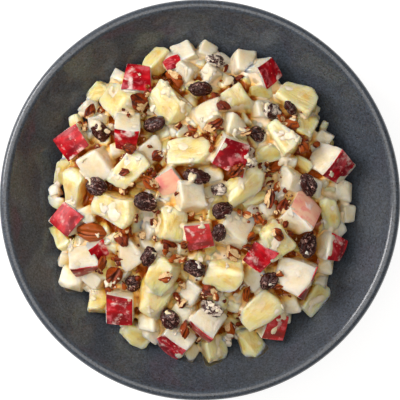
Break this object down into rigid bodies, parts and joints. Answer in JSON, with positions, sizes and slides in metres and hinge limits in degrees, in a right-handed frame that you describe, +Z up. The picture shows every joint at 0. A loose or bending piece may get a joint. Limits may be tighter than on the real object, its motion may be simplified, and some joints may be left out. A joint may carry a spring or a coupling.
{
  "type": "bowl of apple salad",
  "caption": "Round dark stoneware bowl on a foot ring, heaped with a creamy salad of diced red-skinned apple, pineapple, raisins and pecan pieces.",
  "frame": {"origin": "centre of the bowl's foot ring, on the surface that it stands on", "axes": "+Z up along the bowl's axis; +X to the right and +Y away from the reader as the salad is seen from above"},
  "size_m": [0.24, 0.24, 0.0892],
  "materials": {
    "bowl": "satin dark grey glaze with fine darker speckles",
    "salad": "moist cream-coloured fruit in a thin glossy dressing, with red skin on some sides",
    "raisin": "wrinkled, dark, half glossy",
    "pecan": "ridged brown skin, satin"
  },
  "bodies": {
    "root": {"bowl": "bowl", "salad": "salad", "raisin_01": "raisin", "raisin_02": "raisin", "raisin_03": "raisin", "raisin_04": "raisin", "raisin_05": "raisin", "raisin_07": "raisin", "raisin_08": "raisin", "raisin_09": "raisin", "raisin_10": "raisin", "raisin_11": "raisin", "raisin_12": "raisin", "raisin_13": "raisin", "raisin_14": "raisin", "raisin_15": "raisin", "raisin_16": "raisin", "raisin_17": "raisin", "raisin_19": "raisin", "raisin_20": "raisin", "raisin_21": "raisin", "raisin_22": "raisin", "raisin_23": "raisin", "pecan_01": "pecan", "pecan_02": "pecan", "pecan_03": "pecan", "pecan_04": "pecan", "pecan_05": "pecan", "pecan_06": "pecan", "pecan_08": "pecan", "pecan_10": "pecan", "pecan_11": "pecan", "pecan_13": "pecan", "pecan_14": "pecan", "pecan_15": "pecan", "pecan_17": "pecan", "pecan_19": "pecan", "pecan_20": "pecan", "pecan_21": "pecan", "pecan_22": "pecan", "pecan_23": "pecan"}
  },
  "joints": []
}
